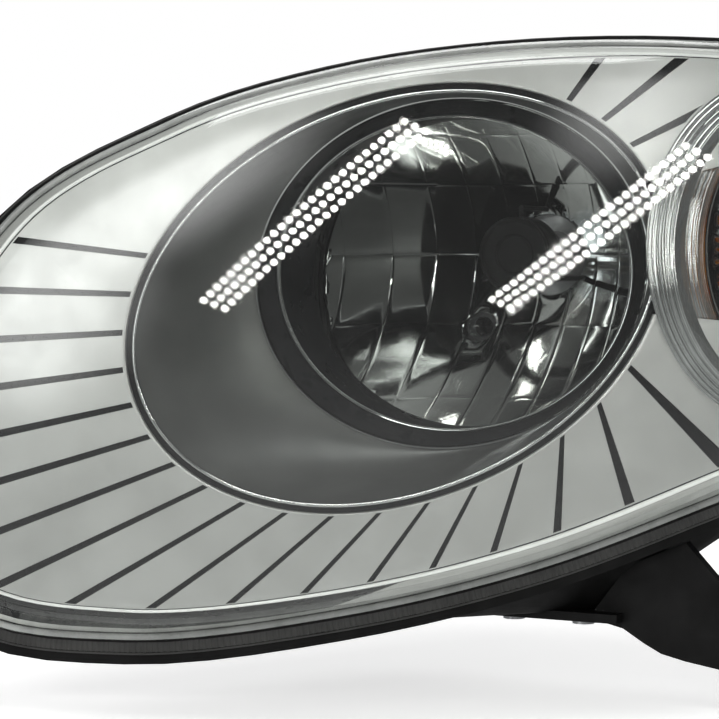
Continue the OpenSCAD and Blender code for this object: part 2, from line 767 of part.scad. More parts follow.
// Socket for the car's loom, open to the rear
module main_connector() {
  color("#2b2d31") difference() {
    union() {
      block(
        [plug_x - plug_w / 2, rear_y + 2, plug_z - plug_h / 2],
        [plug_x + plug_w / 2, rear_y + plug_depth, plug_z + plug_h / 2]
      );
      block([plug_x - 21, rear_y, plug_z - 13], [plug_x + 21, rear_y + 3, plug_z + 13]);
      block([plug_x - 14, rear_y - 12, plug_z - 6], [plug_x + 14, rear_y + 1, plug_z + 6]);
      block(
        [plug_x - 4, rear_y + 8, plug_z + plug_h / 2 - 1],
        [plug_x + 4, rear_y + 16, plug_z + plug_h / 2 + 2.5]
      );
    }
    block(
      [plug_x - plug_w / 2 + 1.8, rear_y + 6, plug_z - plug_h / 2 + 1.8],
      [plug_x + plug_w / 2 - 1.8, rear_y + plug_depth + 1, plug_z + plug_h / 2 - 1.8]
    );
    pins(6);
  }
}

module connector_pins() {
  color("#c9b26a") pins(13);
}

module vent_caps() {
  color("#0d0d0e") for (z = VENTS_Z) difference() {
    union() {
      rod(vent_x, rear_y + 0.4, z, 6.5, 11);
      rod(vent_x, rear_y + 3, z, 8, 2);
    }
    rod(vent_x, rear_y, z, 4, 8);
    for (a = [0:90:270]) turned(vent_x, rear_y - 1, z, a) translate([3, 0, -1]) cube([3, 3, 2]);
  }
}

// Black arm from under the belly to the lower fixing point
module lower_bracket() {
  color("#141517") difference() {
    union() {
      block([-14, foot_y - 16, belly_z - foot_t], [56, foot_y + 16, belly_z]);
      lamp() translate([0, arm_y + arm_t, 0]) rotate([90, 0, 0]) linear_extrude(arm_t) polygon([
        [42, belly_z], [43, -155], [56, -158], [66, -164], [74, -168], [85, -170.5], [101, -173], [118, -177],
        [136, -187], [156, -170], [132, -158], [113, -145], [98, -132], [85, -118], [58, -130]
      ]);
      rod(arm_end[0], arm_y, arm_end[1], 14, arm_t + 4);
      block([92, arm_y, -166], [128, arm_y + 14, -162]);
    }
    body_hull(0, 2, -1);
    rod(arm_end[0], arm_y - 5, arm_end[1], bush_outer_r, 30);
    for (x = FOOT_SCREWS_X) post(x, foot_y, belly_z - 10, 2.4, 20);
  }
}

module bracket_screws() {
  color("#9a9da0") for (x = FOOT_SCREWS_X)
    lamp() translate([x, foot_y, belly_z - foot_t]) rotate([180, 0, 0]) screw(2.2, 15, 5, 3);
}

module bush(length) {
  difference() {
    cylinder(r = bush_outer_r, h = length);
    translate([0, 0, -1]) cylinder(r = bush_r, h = length + 2);
  }
}

module mount_bushes() {
  color("#8d9092") union() {
    for (x = [inner_tab_x, outer_tab_x]) lamp() translate([x, tab_y, tab_top - tab_t]) bush(tab_t);
    rearward(arm_end[0], arm_y, arm_end[1]) bush(arm_t + 4);
  }
}

housing_shell();
lens();
lens_seal();
bezel();
main_funnel();
oval_trim();
reflector_shroud();
main_reflector();
bulb_glass();
bulb_filaments();
bulb_base();
bulb_terminals();
bulb_plug();
bulb_shield();
bulb_clip();
clip_pivot();
sidelight_bulb();
sidelight_holder();
indicator_ring();
indicator_bowl();
indicator_bulb();
indicator_bulb_base();
indicator_holder();
indicator_seal();
main_cap();
cap_seal();
ball_stud();
pivot_cup();
level_socket();
side_socket();
level_rod();
level_gear();
level_motor();
motor_seal();
motor_screws();
tilt_adjuster();
side_slider();
side_screw();
main_connector();
connector_pins();
vent_caps();
lower_bracket();
bracket_screws();
mount_bushes();
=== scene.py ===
"""Looks of a car headlight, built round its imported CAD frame. Lengths are in millimetres."""
import json
import math

import bpy
import numpy as np
from mathutils import Matrix, Vector


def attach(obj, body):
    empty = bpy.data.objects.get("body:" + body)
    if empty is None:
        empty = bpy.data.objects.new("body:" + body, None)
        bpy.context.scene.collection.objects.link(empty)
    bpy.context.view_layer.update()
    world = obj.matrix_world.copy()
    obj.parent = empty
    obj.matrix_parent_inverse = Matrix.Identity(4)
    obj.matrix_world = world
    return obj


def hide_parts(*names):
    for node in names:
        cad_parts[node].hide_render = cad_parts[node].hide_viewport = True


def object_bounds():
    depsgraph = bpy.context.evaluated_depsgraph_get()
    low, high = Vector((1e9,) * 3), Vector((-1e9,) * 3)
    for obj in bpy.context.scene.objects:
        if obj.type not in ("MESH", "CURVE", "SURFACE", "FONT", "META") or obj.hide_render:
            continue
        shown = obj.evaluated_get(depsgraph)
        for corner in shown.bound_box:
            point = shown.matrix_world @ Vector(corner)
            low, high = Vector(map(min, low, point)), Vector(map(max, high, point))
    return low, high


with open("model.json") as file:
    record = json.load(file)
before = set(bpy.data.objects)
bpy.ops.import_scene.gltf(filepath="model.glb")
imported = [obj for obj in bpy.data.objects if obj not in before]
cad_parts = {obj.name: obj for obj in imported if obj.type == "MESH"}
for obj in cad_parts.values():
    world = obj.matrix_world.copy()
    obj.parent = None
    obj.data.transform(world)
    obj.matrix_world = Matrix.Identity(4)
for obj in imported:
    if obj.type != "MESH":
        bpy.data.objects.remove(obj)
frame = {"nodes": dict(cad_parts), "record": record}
cad_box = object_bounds()
NODES = frame["nodes"]
MM = 0.001

# Middle of the lamp's face, from the origin at the upper inner bush
LAMP = np.array([60.0, -164.0, -90.0])

# The swept-back face and the lens dome
FACE_SWEEP = math.radians(27)
CROWN_H, CROWN_R_ACROSS, CROWN_R_UP = 66, 520, 420
LENS_T, LENS_FILLET, LENS_BASE_H = 3, 14, -8
FLARE_TOP, FLARE_BOTTOM = 3, 11
LIP_TOP, LIP_BOTTOM = 1.5, 11
FLANGE_H = -10
OUTLINE = np.array([
    [-244, -70], [-195, 22], [-123, 66], [-54, 88], [20, 99], [98, 101], [165, 94], [212, 67],
    [234, 12], [217, -46], [173, -77], [118, -99], [38, -129], [-50, -150], [-143, -160], [-216, -144],
], float)
DOME_CENTRE = np.array([10.0, -20.0])

# Depths of the inner pieces below the dome
BEZEL_DROP, BEZEL_T, SKIN_T = 18, 2.5, 2
BEZEL_INSET = LENS_T + 2
SKIRT_FOOT_H, SKIRT_FOOT_INSET = -7.4, LENS_T + 0.6
RING_RISE, RING_FALL = 1.5, 18
FUNNEL_DROP = BEZEL_DROP + BEZEL_T + 0.4

# Ellipses on the face: centre, half width, half height, tilt
OVAL = ((-25, -10), 117, 83.5, 23)
THROAT = ((0, 0), 85, 75, 12)
TURN_OUTER = ((140, 10), 62, 75, 0)
TURN_INNER = ((145, 10), 38, 53, 0)
FAN_CENTRE = np.array([82.0, 8.0])

# Grooves of the bezel: where they leave the oval, in steps of its own angle, and where they spread from
GROOVE_STEP = 10.2
LOWER_GROOVES = [138 + GROOVE_STEP * k for k in range(18)]
UPPER_GROOVES = [14, 24, 34]
LOWER_SPREAD, UPPER_SPREAD = np.array([46.0, -13.0]), np.array([-67.5, -3.5])
GROOVE_HALF, GROOVE_DEPTH, GROOVE_WALL = 1.0, 1.5, 0.22

# Lamp coordinates of the reflector and its bulbs
BULB_X, BULB_Z, NECK_R = 8, 8, 18.7
SIDE_X, SIDE_Z, SIDE_R = -19, -25, 6.8
CUP_X, CUP_Z, CUP_R = 1, 1, 74.5
VERTEX_Y, FOCAL, SHIELD_Y = 92, 24, 48
RIM_Y, RIM_SLANT = 20, math.radians(21.8)
TUBE_R, TUBE_T, SHROUD_SLANT = 67, 1.7, math.radians(17.7)
TURN_X, TURN_Z, TURN_NECK_Y = 132, 10, 106


# ---- Shapes on the face ----

def mix(a, b, t):
    return a + (b - a) * t


def outline_terms(u):
    index = np.floor(u).astype(int)
    t = (u - index)[:, None]
    return [OUTLINE[(index + k) % len(OUTLINE)] for k in (-1, 0, 1, 2)], t


def edge(u):
    """Points on the lens outline, a smooth curve through its corners."""
    (a, b, c, d), t = outline_terms(u)
    return 0.5 * (2 * b + (c - a) * t + (2 * a - 5 * b + 4 * c - d) * t ** 2 + (3 * b - a - 3 * c + d) * t ** 3)


def outward(u):
    (a, b, c, d), t = outline_terms(u)
    slope = (c - a) + 2 * (2 * a - 5 * b + 4 * c - d) * t + 3 * (3 * b - a - 3 * c + d) * t ** 2
    normal = np.stack([-slope[:, 1], slope[:, 0]], 1)
    return normal / np.linalg.norm(normal, axis=1)[:, None]


def underside(u):
    """0 where the outline faces up, 1 where it faces down."""
    return ((1 - outward(u)[:, 1]) / 2)[:, None]


def edge_in(u, inset):
    return edge(u) - outward(u) * inset


def rim(u, inset):
    """The outline at the top of the leaning skirt."""
    return edge_in(u, mix(FLARE_TOP, FLARE_BOTTOM, underside(u)) + inset)


def crown(p):
    return CROWN_H - (p[:, 0] + 20) ** 2 / (2 * CROWN_R_ACROSS) - (p[:, 1] + 25) ** 2 / (2 * CROWN_R_UP)


def face_points(p, h):
    """Across, up and out of the face to the row frame, in metres."""
    h = np.broadcast_to(h, (len(p),))
    s, c = math.sin(FACE_SWEEP), math.cos(FACE_SWEEP)
    return (np.stack([p[:, 0] * c + h * s, p[:, 0] * s - h * c, p[:, 1]], 1) + LAMP) * MM


def on_dome(p, drop):
    return face_points(p, crown(p) - drop)


def lamp_points(x, y, z):
    """Points in the lamp's own coordinates to the row frame, in metres."""
    return (np.stack(np.broadcast_arrays(x, y, z), -1).reshape(-1, 3) + LAMP) * MM


def oval_points(oval, grow, degrees):
    (cx, cy), half_w, half_h, tilt = oval
    a, t = np.radians(degrees), math.radians(tilt)
    x, y = (half_w + grow) * np.cos(a), (half_h + grow) * np.sin(a)
    return np.stack([cx + x * math.cos(t) - y * math.sin(t), cy + x * math.sin(t) + y * math.cos(t)], 1)


def reach(oval, start, direction):
    """Distance from a point inside an ellipse to the ellipse, along each direction."""
    centre, half_w, half_h, tilt = oval
    t = math.radians(tilt)
    turn = np.array([[math.cos(t), math.sin(t)], [-math.sin(t), math.cos(t)]])
    scale = np.array([half_w, half_h])
    d = direction @ turn.T / scale
    o = (start - np.array(centre)) @ turn.T / scale
    a, b, c = (d * d).sum(1), d @ o, o @ o - 1
    return (np.sqrt(b * b - a * c) - b) / a


# ---- Meshes ----

def make_piece(name, points, faces, materials, zones=None, body="root", sharp=35):
    """A smooth-shaded mesh that rides on a body; zones holds each face's material."""
    mesh = bpy.data.meshes.new(name)
    mesh.from_pydata(points.tolist(), [], faces.tolist() if isinstance(faces, np.ndarray) else faces)
    for material in materials:
        mesh.materials.append(material)
    if zones is not None:
        mesh.polygons.foreach_set("material_index", np.asarray(zones, np.int32))
    mesh.shade_smooth()
    mesh.set_sharp_from_angle(angle=math.radians(sharp))
    mesh.update()
    piece = bpy.data.objects.new(name, mesh)
    bpy.context.scene.collection.objects.link(piece)
    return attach(piece, body)


def ring_faces(rings, columns, closed):
    """Quads between neighbouring rings of points; closed joins the last ring to the first."""
    links = rings if closed else rings - 1
    i, k = np.meshgrid(np.arange(links), np.arange(columns), indexing="ij")
    j, n = (i + 1) % rings, (k + 1) % columns
    quads = np.stack([i * columns + k, j * columns + k, j * columns + n, i * columns + n], -1)
    return quads.reshape(-1, 4)


def loft_piece(name, rings, materials, ring_zones=None, body="root", sharp=35):
    """Closed shell through a chain of rings; ring_zones holds a material for each band."""
    rings = [np.asarray(r) for r in rings]
    columns = len(rings[0])
    faces = ring_faces(len(rings), columns, True)
    zones = None if ring_zones is None else np.repeat(ring_zones, columns)
    return make_piece(name, np.concatenate(rings), faces, materials, zones, body, sharp)


# ---- Materials ----

def new_material(name):
    material = bpy.data.materials.new(name)
    material.use_nodes = True
    tree = material.node_tree
    tree.nodes.clear()
    return material, tree


def add(tree, kind, inputs=None, **settings):
    """A node with its settings, and its inputs set to values or linked from sockets."""
    made = tree.nodes.new(kind)
    for key, value in settings.items():
        setattr(made, key, value)
    for key, value in (inputs or {}).items():
        if isinstance(value, bpy.types.NodeSocket):
            tree.links.new(value, made.inputs[key])
        else:
            made.inputs[key].default_value = value
    return made


def noise(tree, scale, detail=2.0, stretch=None):
    """Noise at a size given in features per metre, or stretched along one axis."""
    where = add(tree, "ShaderNodeTexCoord").outputs["Object"]
    if stretch:
        where = add(tree, "ShaderNodeMapping", {"Vector": where, "Scale": stretch}).outputs["Vector"]
    return add(tree, "ShaderNodeTexNoise", {"Vector": where, "Scale": scale, "Detail": detail}).outputs["Fac"]


def spread(tree, value, low, high):
    """Maps the middle of a noise onto a range."""
    inputs = {"Value": value, "From Min": 0.35, "From Max": 0.65, "To Min": low, "To Max": high}
    return add(tree, "ShaderNodeMapRange", inputs).outputs["Result"]


def tint(tree, value, dark, light):
    colour = add(tree, "ShaderNodeMix", {"Factor": value}, data_type="RGBA")
    colour.inputs["A"].default_value = (*dark, 1)
    colour.inputs["B"].default_value = (*light, 1)
    return colour.outputs["Result"]


def bump(tree, height, depth_mm):
    inputs = {"Height": height, "Distance": depth_mm * MM, "Strength": 1.0}
    return add(tree, "ShaderNodeBump", inputs).outputs["Normal"]


def output(tree, shader):
    add(tree, "ShaderNodeOutputMaterial", {"Surface": shader.outputs[0]})


def solid_finish(
        name, dark, light, rough, metallic=0.0, grain=1400, depth=0.02, wear=60, stretch=None, extra=None):
    """Opaque finish: colour and gloss drift over wear-sized patches, with a fine bump of its own grain."""
    material, tree = new_material(name)
    patches = spread(tree, noise(tree, wear, 4.0), 0, 1)
    fine = noise(tree, grain, 3.0, stretch)
    inputs = {
        "Base Color": tint(tree, patches, dark, light),
        "Metallic": metallic,
        "Roughness": spread(tree, noise(tree, wear * 2.3, 5.0), *rough),
        "Normal": bump(tree, fine, depth),
    }
    inputs.update(extra or {})
    output(tree, add(tree, "ShaderNodeBsdfPrincipled", inputs))
    return material


DULL = {"Specular IOR Level": 0.15}
MILKY = {"Subsurface Weight": 0.15, "Subsurface Scale": 0.002}


def housing_plastic():
    return solid_finish(
        "housing_plastic", (0.003,) * 3, (0.007,) * 3, (0.42, 0.56),
        grain=2600, depth=0.03, extra=DULL)


def seal_rubber():
    return solid_finish(
        "seal_rubber", (0.006,) * 3, (0.011,) * 3, (0.7, 0.85),
        grain=1800, depth=0.03, extra=DULL)


def silver_satin():
    return solid_finish(
        "silver_satin", (0.62, 0.62, 0.61), (0.73, 0.73, 0.72), (0.34, 0.46),
        metallic=0.75, grain=1500, depth=0.012, wear=25)


def dark_satin():
    return solid_finish(
        "dark_satin", (0.105, 0.107, 0.105), (0.135, 0.137, 0.135), (0.34, 0.42),
        metallic=0.6, grain=1900, depth=0.006, wear=30)


def chrome_trim():
    return solid_finish(
        "chrome_trim", (0.78, 0.79, 0.79), (0.86, 0.87, 0.87), (0.05, 0.12),
        metallic=1.0, grain=500, depth=0.004)


# Near-white, hardly metallic bead: a painted highlight standing in for the light the rounded chrome bead
# catches.
def bead_painted_highlight():
    return solid_finish(
        "bead_painted_highlight", (0.86, 0.86, 0.85), (0.93, 0.93, 0.92), (0.16, 0.26),
        metallic=0.15, grain=900, depth=0.006)


# Light grey on the skirt wall below the bead: a painted reflection, standing in for the light the clear lens
# skirt mirrors.
def skirt_painted_reflection():
    return solid_finish(
        "skirt_painted_reflection", (0.52, 0.52, 0.505), (0.60, 0.60, 0.585), (0.3, 0.42),
        grain=1500, depth=0.006)


def flange_grey():
    return solid_finish(
        "flange_grey", (0.030, 0.030, 0.029), (0.044, 0.044, 0.042), (0.42, 0.56),
        grain=2400, depth=0.03)


def black_satin():
    return solid_finish(
        "black_satin", (0.005, 0.005, 0.006), (0.010, 0.010, 0.011), (0.26, 0.38),
        grain=1600, depth=0.004, extra=DULL)


# Opaque grey for the clear lens foot: a painted highlight, standing in for the light the foot's clear edge
# catches.
def lens_edge():
    return solid_finish(
        "lens_edge", (0.33, 0.335, 0.33), (0.43, 0.435, 0.43), (0.22, 0.36),
        grain=1500, depth=0.01)


def reflector_chrome():
    return solid_finish(
        "reflector_chrome", (0.70, 0.71, 0.70), (0.80, 0.81, 0.80), (0.03, 0.08),
        metallic=1.0, grain=220, depth=0.005, wear=40)


def tungsten():
    return solid_finish(
        "tungsten", (0.22, 0.21, 0.19), (0.34, 0.32, 0.30), (0.3, 0.5),
        metallic=1.0, grain=3000, depth=0.02)


# Darker than bare metal: partly the dull zinc-coated steel's own tone, partly painted shade for the bulb base
# sitting deep in the reflector's neck.
def bulb_metal():
    return solid_finish(
        "bulb_metal", (0.22, 0.225, 0.23), (0.32, 0.325, 0.33), (0.30, 0.46),
        metallic=1.0, grain=1500, depth=0.01, stretch=(1, 0.1, 1))


def contact_brass():
    return solid_finish(
        "contact_brass", (0.62, 0.47, 0.20), (0.74, 0.58, 0.28), (0.18, 0.34),
        metallic=1.0, grain=1800, depth=0.008)


def shield_black():
    return solid_finish(
        "shield_black", (0.003,) * 3, (0.006,) * 3, (0.4, 0.56),
        grain=2400, depth=0.015, extra=DULL)


def spring_steel():
    return solid_finish(
        "spring_steel", (0.48, 0.49, 0.50), (0.60, 0.61, 0.62), (0.2, 0.34),
        metallic=1.0, grain=2200, depth=0.01, stretch=(0.1, 1, 1))


def black_nylon():
    return solid_finish(
        "black_nylon", (0.012, 0.012, 0.013), (0.022, 0.022, 0.024), (0.38, 0.54),
        grain=2100, depth=0.03)


def natural_nylon():
    return solid_finish(
        "natural_nylon", (0.66, 0.62, 0.52), (0.76, 0.73, 0.64), (0.36, 0.5),
        grain=1300, depth=0.015, extra=MILKY)


def zinc_steel():
    return solid_finish(
        "zinc_steel", (0.42, 0.43, 0.45), (0.58, 0.59, 0.60), (0.26, 0.44),
        metallic=1.0, grain=900, depth=0.012, wear=300)


def clear_finish(name, colour, body=0.0, gloss=(0.02, 0.05), ripple=0.01):
    """Thin clear wall: light passes tinted, a gloss grows towards the edges, and a little of the body shows."""
    material, tree = new_material(name)
    facing = add(tree, "ShaderNodeLayerWeight", {"Blend": 0.5}).outputs["Facing"]
    grazing = add(tree, "ShaderNodeMath", {0: facing, 1: 5.0}, operation="POWER").outputs[0]
    share = add(tree, "ShaderNodeMath", {0: grazing, 1: 0.32, 2: 0.045}, operation="MULTIPLY_ADD").outputs[0]
    rough = spread(tree, noise(tree, 35, 6.0), *gloss)
    waves = bump(tree, noise(tree, 18, 2.0), ripple)
    through = add(tree, "ShaderNodeBsdfTransparent", {"Color": (*colour, 1)})
    haze = add(tree, "ShaderNodeBsdfDiffuse", {"Color": (*colour, 1), "Normal": waves})
    dusty = spread(tree, noise(tree, 60, 7.0), body * 0.6, body * 1.4)
    wall = add(tree, "ShaderNodeMixShader", {"Fac": dusty, 1: through.outputs[0], 2: haze.outputs[0]})
    mirror = add(tree, "ShaderNodeBsdfGlossy", {"Color": (1, 1, 1, 1), "Roughness": rough, "Normal": waves})
    output(tree, add(tree, "ShaderNodeMixShader", {"Fac": share, 1: wall.outputs[0], 2: mirror.outputs[0]}))
    return material


def lens_clear():
    return clear_finish("lens_clear", (0.95, 0.96, 0.95), body=0.0025)


def clear_glass():
    return clear_finish("clear_glass", (0.96, 0.97, 0.98), body=0.0, gloss=(0.01, 0.02), ripple=0.004)


def amber_glass():
    return clear_finish("amber_glass", (0.92, 0.42, 0.06), body=0.35, gloss=(0.04, 0.08), ripple=0.004)


MATERIALS = {make.__name__: make() for make in (
    housing_plastic, seal_rubber, silver_satin, dark_satin, chrome_trim, bead_painted_highlight, skirt_painted_reflection, flange_grey,
    black_satin, lens_edge, reflector_chrome, tungsten, bulb_metal, contact_brass, shield_black, spring_steel,
    black_nylon, natural_nylon, zinc_steel, lens_clear, clear_glass, amber_glass)}


def finish_cad_nodes():
    """Every CAD node that stays takes the finish of its own slot in the record."""
    for part in frame["record"]["subparts"]:
        node = NODES[part["node"]]
        node.data.materials.clear()
        node.data.materials.append(MATERIALS[part["material_slot"]])
        node.data.shade_smooth()
        node.data.set_sharp_from_angle(angle=math.radians(32))


# ---- Pieces ----

ALL_ROUND = np.linspace(0, 360, 240, endpoint=False)
STATIONS = np.linspace(0, len(OUTLINE), 320, endpoint=False)


def lens_rings(off):
    """Rings of one skin of the lens, from the base up to near the middle of the dome."""
    rings = [face_points(edge_in(STATIONS, off + lean), LENS_BASE_H + up) for lean, up in ((0, 0), (0.1, 3))]
    r = LENS_FILLET - off
    for a in np.radians(np.linspace(0, 90, 9)):
        rings.append(on_dome(rim(STATIONS, off + r * (1 - math.cos(a))), off + r * (1 - math.sin(a))))
    inner = rim(STATIONS, LENS_FILLET)
    for s in np.linspace(0.94, 0.02, 15):
        rings.append(on_dome(mix(DOME_CENTRE, inner, s), off))
    return rings


def lens_piece():
    outer, inner = lens_rings(0.25), lens_rings(LENS_T)
    rings = inner[::-1] + outer
    columns = len(STATIONS)
    faces = ring_faces(len(rings), columns, False).tolist()
    first = list(range(columns))
    last = [(len(rings) - 1) * columns + k for k in range(columns)]
    faces += [first, last[::-1]]
    piece = make_piece("lens_cover", np.concatenate(rings), faces, [MATERIALS["lens_clear"]])
    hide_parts("lens")


def lens_foot_piece():
    """Thick rounded foot of the lens in opaque grey: a painted highlight for the light its clear wall catches.
    """
    rings = [face_points(edge_in(STATIONS, 1.7 - 1.35 * math.cos(a)), LENS_BASE_H + 1 + 0.85 * math.sin(a))
             for a in np.radians(np.arange(0, 360, 45))]
    piece = loft_piece("lens_foot", rings, [MATERIALS["lens_edge"]], sharp=60)


def spread_centres(degrees):
    """Point that each column of the bezel spreads from: the grooves share two, and the rest blend."""
    keys = [0, 28, 46, 92, 150, 175, 305, 318, 345, 360]
    turn = np.array(TURN_OUTER[0], float)
    points = np.array([turn] * 2 + [UPPER_SPREAD] * 2 + [LOWER_SPREAD] * 3 + [turn] * 3)
    return np.stack([np.interp(degrees, keys, points[:, axis]) for axis in (0, 1)], 1)


def angle_from_fan(p):
    return np.degrees(np.arctan2(p[:, 1] - FAN_CENTRE[1], p[:, 0] - FAN_CENTRE[0])) % 360


def bezel_inner(degrees):
    a = np.radians(degrees)
    direction = np.stack([np.cos(a), np.sin(a)], 1)
    far = np.maximum(reach(OVAL, FAN_CENTRE, direction), reach(TURN_OUTER, FAN_CENTRE, direction))
    return FAN_CENTRE + direction * far[:, None]


def bezel_columns():
    """Angles of the bezel's columns, and which of them lie on the floor of a groove."""
    marks = oval_points(OVAL, 0, np.array(LOWER_GROOVES + UPPER_GROOVES))
    tangent = oval_points(OVAL, 0, np.array(LOWER_GROOVES + UPPER_GROOVES) + 0.5) - marks
    tangent /= np.linalg.norm(tangent, axis=1)[:, None]
    wall = GROOVE_HALF + GROOVE_WALL
    offsets = np.array([-wall, -GROOVE_HALF, 0, GROOVE_HALF, wall])
    angles, floors, taken = [], [], []
    for mark, along in zip(marks, tangent):
        found = angle_from_fan(mark + offsets[:, None] * along)
        angles += found.tolist()
        floors += [False, True, True, True, False]
        taken.append((found.min(), found.max()))
    for angle in np.arange(0, 360, 1.0):
        if all(angle < low - 0.15 or angle > high + 0.15 for low, high in taken):
            angles.append(angle)
            floors.append(False)
    order = np.argsort(angles)
    return np.array(angles)[order], np.array(floors)[order]


def meet_rim(start, direction, inset):
    """Where rays from the bezel's opening meet the outer rim: the outline positions of those points."""
    u = np.linspace(0, len(OUTLINE), 4001)
    target = rim(u, inset)
    found = []
    for p, d in zip(start, direction):
        side = (target[:, 0] - p[0]) * d[1] - (target[:, 1] - p[1]) * d[0]
        ahead = (target - p) @ d > 0
        crossing = np.nonzero((side[:-1] * side[1:] <= 0) & ahead[:-1])[0][0]
        t = side[crossing] / (side[crossing] - side[crossing + 1])
        found.append(mix(u[crossing], u[crossing + 1], t) % len(OUTLINE))
    return np.array(found)


def black_share(p, u):
    """Share of the skirt below the bead that is black: most of it low down inboard, none further out; the rest
    is light grey, a painted reflection of light in the lens skirt.
    """
    across = np.interp(p[:, 0], [-54, -22], [0.8, 0.02])
    below = np.interp(underside(u).ravel(), [0.4, 0.55], [0.02, 0.8])
    return np.minimum(across, below)[:, None]


def bezel_piece():
    angles, floors = bezel_columns()
    inner = bezel_inner(angles)
    away = inner - spread_centres(angles)
    away /= np.linalg.norm(away, axis=1)[:, None]
    u = meet_rim(inner, away, BEZEL_INSET)
    outer = rim(u, BEZEL_INSET)
    width = np.linalg.norm(outer - inner, axis=1)

    def panel(distance, drop):
        return on_dome(inner + (outer - inner) * (distance / width)[:, None], drop)

    lip = [(0.0, 3.2), (0.0, 1.0), (0.3, 0.3), (1.0, 0.0)]
    rings = [panel(np.full_like(width, d), BEZEL_DROP + fall) for d, fall in lip]
    zones = [0, 0, 0]
    sunk = np.where(floors, GROOVE_DEPTH, 0.0)
    start, end = np.minimum(1.6, width * 0.2), width - np.minimum(3.7, width * 0.3)
    rings.append(panel(start, BEZEL_DROP))
    for s in np.linspace(0, 1, 24):
        rings.append(panel(mix(start + 0.25, end - 0.25, s), BEZEL_DROP + sunk))
    rings.append(panel(end, BEZEL_DROP))
    zones += [0] + [0] * 25
    # Rounded bead along the outer edge; its faces take the near-white finish that paints its highlight.
    bead = [(3.0, 0.0), (2.8, 0.7), (2.4, 0.7), (2.25, -0.1), (1.6, -0.5), (0.7, -0.5), (0.1, -0.1), (0.0, 0.5)]
    rings += [panel(width - d, BEZEL_DROP + fall) for d, fall in bead]
    zones += [0, 1, 1, 2, 2, 2, 2, 2]
    # Skirt wall below the bead: black above, then the light grey painted reflection down to the foot.
    foot, black = edge_in(u, SKIRT_FOOT_INSET), black_share(outer, u)
    for t in (black * 0.5, black, mix(black, 1, 0.5)):
        h = mix(crown(outer) - BEZEL_DROP - 0.5, SKIRT_FOOT_H, t[:, 0])
        rings.append(face_points(mix(outer, foot, t), h))
    rings.append(face_points(foot, SKIRT_FOOT_H))
    rings.append(face_points(edge_in(u, SKIRT_FOOT_INSET + SKIN_T), SKIRT_FOOT_H))
    rings.append(face_points(edge_in(u, LENS_T + 3 + SKIN_T), FLANGE_H))
    for s in (1, 0.67, 0.33, 0):
        rings.append(on_dome(mix(inner, rim(u, BEZEL_INSET + SKIN_T), s), BEZEL_DROP + BEZEL_T + 1.2))
    zones += [1, 1, 3, 3, 3, 1, 1, 1, 1, 1, 1]
    columns = len(angles)
    faces = ring_faces(len(rings), columns, True)
    zones = np.repeat(zones, columns).reshape(-1, columns)
    in_groove = (floors | np.roll(floors, -1))[None, :]
    groove_rows = np.arange(len(zones))[:, None]
    zones = np.where(in_groove & (groove_rows >= 4) & (groove_rows <= 28), 1, zones)
    finishes = [MATERIALS[n] for n in ("silver_satin", "black_satin", "bead_painted_highlight", "skirt_painted_reflection")]
    piece = make_piece("bezel_fan", np.concatenate(rings), faces, finishes, zones.ravel(), sharp=28)
    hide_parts("bezel")


def funnel_piece():
    """Dark funnel from the oval opening down to the throat, with a bright rolled lip."""
    def skin(grow, drop):
        rings = [on_dome(oval_points(OVAL, 4, ALL_ROUND - OVAL[3]), FUNNEL_DROP + drop)]
        top = oval_points(OVAL, grow - 4, ALL_ROUND - OVAL[3])
        low = oval_points(THROAT, grow, ALL_ROUND - THROAT[3])
        for s in np.linspace(0, 1, 26):
            h = mix(crown(top) - FUNNEL_DROP - 1, 0, 1 - (1 - s) ** 1.5)
            rings.append(face_points(mix(top, low, s), h - drop))
        return rings

    def lip_ring(angle):
        r = 1.1
        ring = oval_points(THROAT, r * math.cos(angle) + 0.4, ALL_ROUND - THROAT[3])
        return face_points(ring, r * math.sin(angle) - 0.4)

    lip = [lip_ring(a) for a in np.radians([100, 140, 180, 220, 260])]
    front, back = skin(0, 0), skin(SKIN_T, SKIN_T)
    zones = [2] + [0] * (len(front) - 2) + [1] * len(lip) + [0] * (len(back) + 1)
    rings = front + lip + back[::-1]
    finishes = [MATERIALS[n] for n in ("dark_satin", "chrome_trim", "black_satin")]
    piece = loft_piece("funnel", rings, finishes, zones)
    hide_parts("main_funnel")


def oval_trim_piece():
    r = 0.8
    drop = FUNNEL_DROP - r - 0.2
    rings = [on_dome(oval_points(OVAL, r * math.cos(a) - 3.3, ALL_ROUND), drop - r * math.sin(a))
             for a in np.radians(np.arange(0, 360, 30))]
    piece = loft_piece("oval_trim_ring", rings, [MATERIALS["chrome_trim"]], sharp=60)
    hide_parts("oval_trim")


